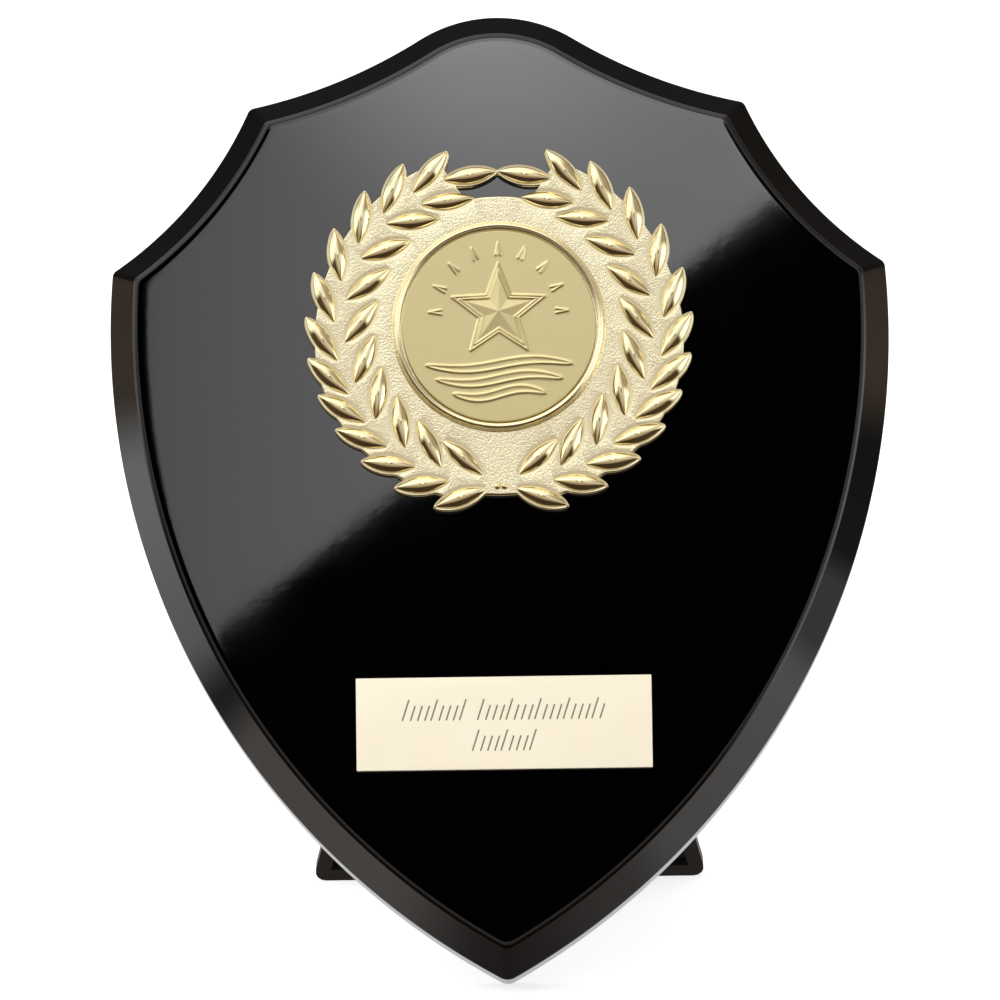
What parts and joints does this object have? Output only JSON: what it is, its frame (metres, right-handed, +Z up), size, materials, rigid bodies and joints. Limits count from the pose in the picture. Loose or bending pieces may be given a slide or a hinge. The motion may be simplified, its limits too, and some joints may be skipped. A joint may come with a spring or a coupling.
{
  "type": "award shield plaque",
  "caption": "Black gloss shield plaque with a gold laurel wreath, round centre disc, engraving plate and folding easel leg.",
  "frame": {"origin": "middle of the underside, on the surface that the board's tip and the leg's foot stand on", "axes": "+Z up, -Y towards the front that the face looks to, +X to the right seen from the front"},
  "size_m": [0.1016, 0.0624, 0.1196],
  "materials": {
    "board_lacquer": "fibreboard under high-gloss black lacquer",
    "wreath_gold": "moulded plastic metallised in bright pale gold",
    "disc_gold": "embossed foil-faced disc in satin gold",
    "plate_gold": "thin pale gold plate with a fine satin surface",
    "moulded_black": "black injection moulding with a satin surface",
    "screw_zinc": "zinc plated"
  },
  "bodies": {
    "shield": {"shield_board": "board_lacquer", "wreath_trim": "wreath_gold", "centre_disc": "disc_gold", "engraving_plate": "plate_gold", "strut_bracket": "moulded_black", "bracket_screw_left": "screw_zinc", "bracket_screw_right": "screw_zinc"},
    "leg": {"strut": "moulded_black"}
  },
  "joints": [
    {"name": "strut_hinge", "type": "hinge", "parent": "shield", "child": "leg", "pos_m": [0, 0.01273, 0.07378], "axis": [1, 0, 0], "range_deg": [-34.7, 0]}
  ]
}
